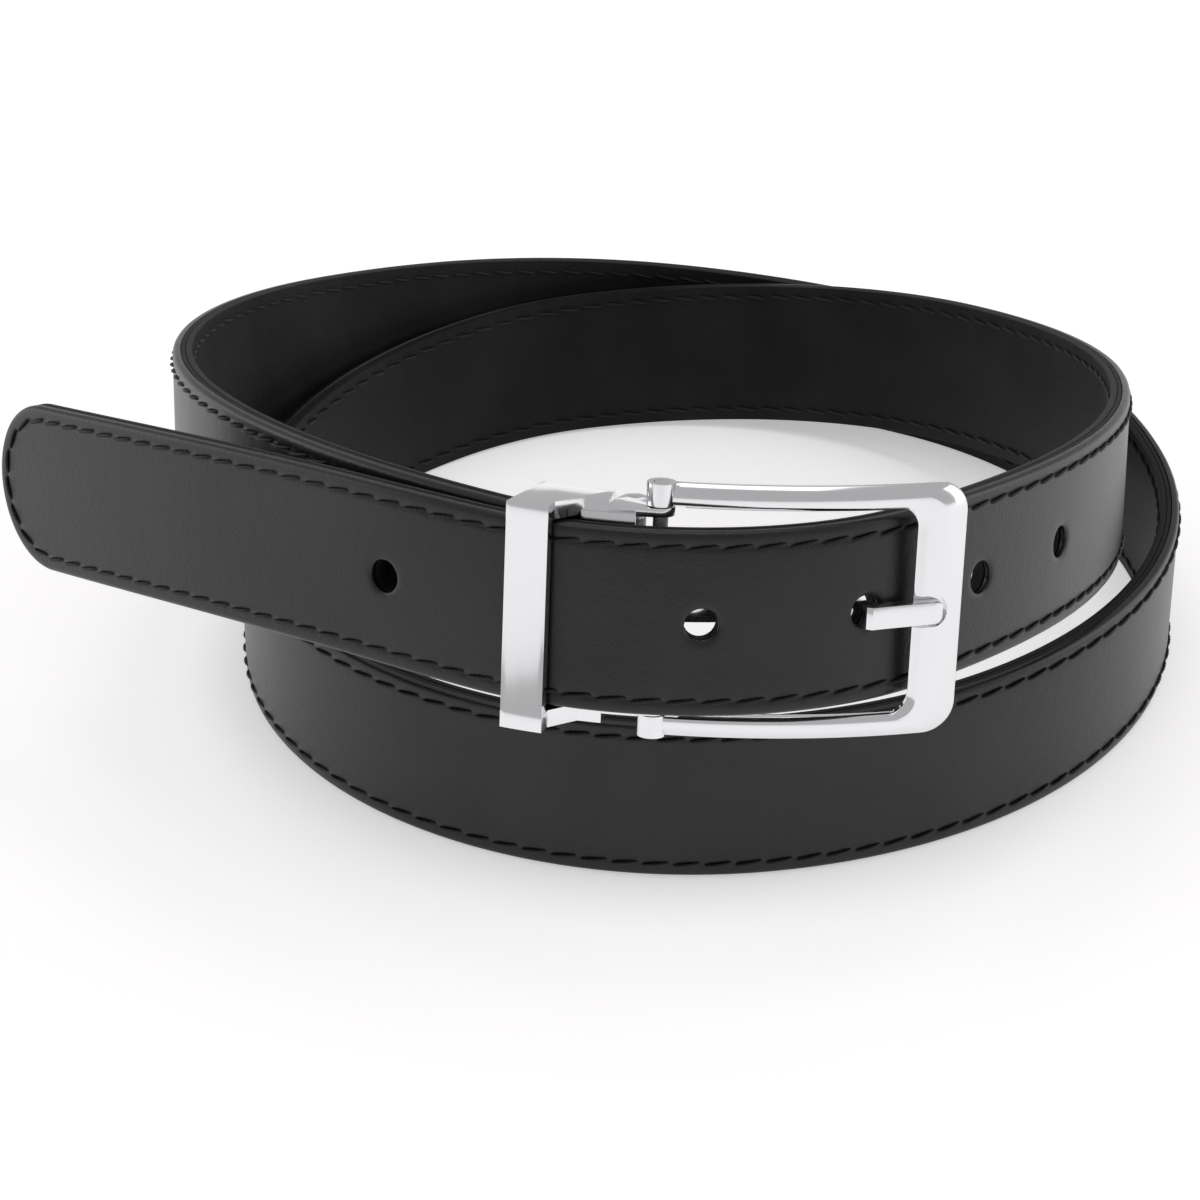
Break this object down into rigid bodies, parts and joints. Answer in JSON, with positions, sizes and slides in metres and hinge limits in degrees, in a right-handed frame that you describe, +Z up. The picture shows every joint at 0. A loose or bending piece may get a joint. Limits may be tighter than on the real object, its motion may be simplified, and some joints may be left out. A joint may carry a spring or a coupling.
{
  "type": "leather dress belt",
  "caption": "Black stitched leather dress belt with a polished clamp buckle, buckled and coiled in two turns on its edge.",
  "frame": {"origin": "on the surface the belt stands on, below the middle of the coiled belt's bounding box", "axes": "+Z up, across the strap's width; -Y towards the buckle; +X from the free tip towards the buckle's end bar"},
  "size_m": [0.2194, 0.2347, 0.088],
  "materials": {
    "face_leather": "smooth semi-matte black calf",
    "filler_board": "edge-dyed leather board",
    "lining_leather": "black lining leather",
    "thread": "twisted black thread",
    "polished_metal": "polished nickel plate",
    "pin_steel": "plated steel"
  },
  "bodies": {
    "strap_and_clamp": {"strap_outer_leather": "face_leather", "strap_filler": "filler_board", "strap_lining": "lining_leather", "face_thread": "thread", "lining_thread": "thread", "clamp_with_keeper": "polished_metal", "hinge_pin": "pin_steel", "jaw_pin": "pin_steel"},
    "frame": {"buckle_frame": "polished_metal"},
    "prong": {"prong": "polished_metal"},
    "jaw": {"jaw": "pin_steel"}
  },
  "joints": [
    {"name": "frame_lift", "type": "hinge", "parent": "strap_and_clamp", "child": "frame", "pos_m": [0.0108, -0.10522, 0.06711], "axis": [-0.0302, -0.1907, -0.9812], "range_deg": [0, 1.5]},
    {"name": "prong_lift", "type": "hinge", "parent": "strap_and_clamp", "child": "prong", "pos_m": [0.0108, -0.10522, 0.06711], "axis": [-0.0302, -0.1907, -0.9812], "range_deg": [0, 1.5]},
    {"name": "jaw_open", "type": "hinge", "parent": "strap_and_clamp", "child": "jaw", "pos_m": [0.00673, -0.10099, 0.06642], "axis": [-0.0302, -0.1907, -0.9812], "range_deg": [0, 75]}
  ],
  "couplings": [
    {"joint": "prong_lift", "follows": "frame_lift", "ratio": 1}
  ]
}
